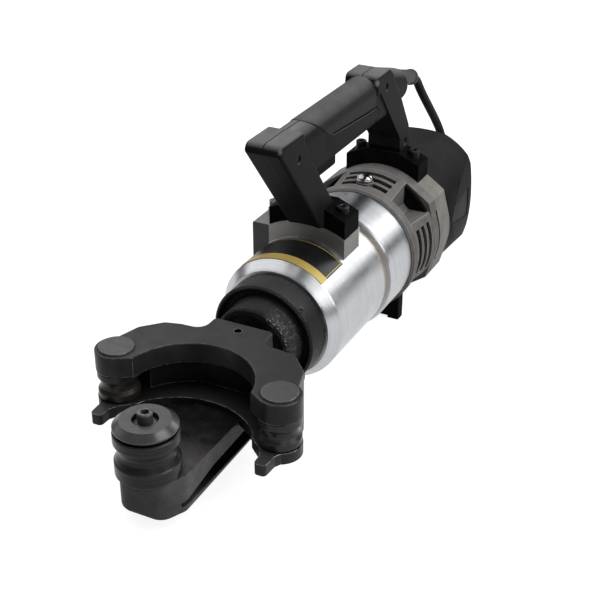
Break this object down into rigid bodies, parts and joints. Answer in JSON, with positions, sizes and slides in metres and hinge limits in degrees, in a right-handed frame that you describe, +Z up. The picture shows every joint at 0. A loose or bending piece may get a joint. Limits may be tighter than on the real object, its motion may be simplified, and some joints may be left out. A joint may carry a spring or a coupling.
{
  "type": "hydraulic rebar bender",
  "caption": "Portable electro-hydraulic bar bender: motor and pump body drive a ram whose roller yoke pushes a bar round a fixed grooved mandrel; top carrying handle with trigger.",
  "frame": {"origin": "on the floor, under the middle of the machine's length and width, the cord not counted", "axes": "+Z up; the machine's axis runs along Y, with the bending head towards -Y and the motor towards +Y; the release valve is on the -X side"},
  "size_m": [0.1911, 0.6312, 0.2131],
  "materials": {
    "frame_cast": "black oxide, rough cast with worn edges",
    "yoke_steel": "black oxide, satin",
    "tool_steel": "hardened, dark, semi-gloss",
    "pin_steel": "ground",
    "ram_chrome": "hard chrome",
    "inner_steel": "machined",
    "pump_steel": "machined, warm tone",
    "bush_brass": "turned",
    "body_aluminium": "turned, bright",
    "block_aluminium": "milled",
    "housing_cast": "cast, matt warm grey",
    "plate_black": "satin black sheet",
    "strip_gold": "anodised gold sheet",
    "valve_steel": "blackened",
    "bladder_rubber": "matt",
    "screw_chrome": "bright plated",
    "screw_black": "black oxide",
    "bracket_black": "satin black",
    "motor_iron": "laminated",
    "motor_copper": "copper",
    "fan_plastic": "moulded",
    "carbon": "pressed carbon",
    "cap_plastic": "moulded charcoal, fine grain",
    "handle_plastic": "moulded black, fine grain",
    "grip_rubber": "smooth charcoal",
    "trigger_plastic": "moulded",
    "cord_rubber": "smooth sheath",
    "tie_plastic": "woven strap",
    "plug_plastic": "moulded"
  },
  "bodies": {
    "machine": {"front_frame": "frame_cast", "frame_set_screw": "screw_black", "mandrel_cap": "tool_steel", "mandrel_pin": "pin_steel", "retaining_ring": "pin_steel", "return_spring": "inner_steel", "gland_bush": "tool_steel", "cylinder_liner": "inner_steel", "pump_body": "body_aluminium", "nameplate": "plate_black", "nameplate_strip": "strip_gold", "valve_block": "block_aluminium", "oil_bladder": "bladder_rubber", "pump_block": "pump_steel", "pump_plunger": "inner_steel", "shaft_bearings": "inner_steel", "gear_case": "body_aluminium", "bearing_plate": "housing_cast", "vent_housing": "housing_cast", "vent_screw": "screw_chrome", "corner_plates": "bracket_black", "corner_screws": "screw_black", "stator": "motor_iron", "carbon_brushes": "carbon", "brush_holders": "bush_brass", "motor_cap": "cap_plastic", "cap_panels": "cap_plastic", "support_foot": "bracket_black", "foot_screws": "screw_black", "front_bracket": "bracket_black", "rear_bracket": "bracket_black", "bracket_screws": "screw_black", "handle_left": "handle_plastic", "handle_right": "handle_plastic", "grip_cover": "grip_rubber", "handle_screws": "screw_black", "trigger_switch": "fan_plastic", "trigger_spring": "inner_steel", "strain_relief": "cord_rubber", "mains_cord": "cord_rubber", "cord_coil": "cord_rubber", "cord_tail": "cord_rubber", "cord_tie": "tie_plastic", "mains_plug": "plug_plastic", "plug_pins": "bush_brass"},
    "ram_yoke": {"yoke": "yoke_steel", "roller_pins": "tool_steel", "ram": "ram_chrome", "ram_lock_pin": "pin_steel"},
    "left_roller": {"left_roller": "tool_steel"},
    "right_roller": {"right_roller": "tool_steel"},
    "mandrel": {"mandrel_roller": "tool_steel"},
    "trigger": {"trigger": "trigger_plastic"},
    "release_valve": {"release_valve": "valve_steel"},
    "rotor": {"armature_shaft": "inner_steel", "armature_core": "motor_iron", "commutator": "motor_copper", "cooling_fan": "fan_plastic"},
    "pump_drive": {"eccentric_shaft": "inner_steel", "reduction_gear": "inner_steel"}
  },
  "joints": [
    {"name": "ram_slide", "type": "slide", "parent": "machine", "child": "ram_yoke", "axis": [0, -1, 0], "range_m": [0, 0.056]},
    {"name": "left_roller_spin", "type": "hinge", "parent": "ram_yoke", "child": "left_roller", "pos_m": [-0.0652, -0.16905, 0.0569], "axis": [0, 0, 1], "continuous": true},
    {"name": "right_roller_spin", "type": "hinge", "parent": "ram_yoke", "child": "right_roller", "pos_m": [0.0652, -0.16905, 0.0569], "axis": [0, 0, 1], "continuous": true},
    {"name": "mandrel_spin", "type": "hinge", "parent": "machine", "child": "mandrel", "pos_m": [0, -0.23195, 0.0575], "axis": [0, 0, 1], "continuous": true},
    {"name": "trigger_press", "type": "slide", "parent": "machine", "child": "trigger", "axis": [0, 0, 1], "range_m": [0, 0.0045], "stiffness_N_per_m": 900, "springref_m": -0.002, "deforming": ["trigger_spring"]},
    {"name": "release_turn", "type": "hinge", "parent": "machine", "child": "release_valve", "pos_m": [-0.04, 0.02245, 0.1195], "axis": [0, 0, 1], "range_deg": [0, 180]},
    {"name": "rotor_spin", "type": "hinge", "parent": "machine", "child": "rotor", "pos_m": [0, 0.15, 0.0595], "axis": [0, 1, 0], "continuous": true},
    {"name": "pump_spin", "type": "hinge", "parent": "machine", "child": "pump_drive", "pos_m": [0, 0.07, 0.0375], "axis": [0, 1, 0], "continuous": true}
  ],
  "couplings": [
    {"joint": "pump_spin", "follows": "rotor_spin", "ratio": -0.29412}
  ]
}
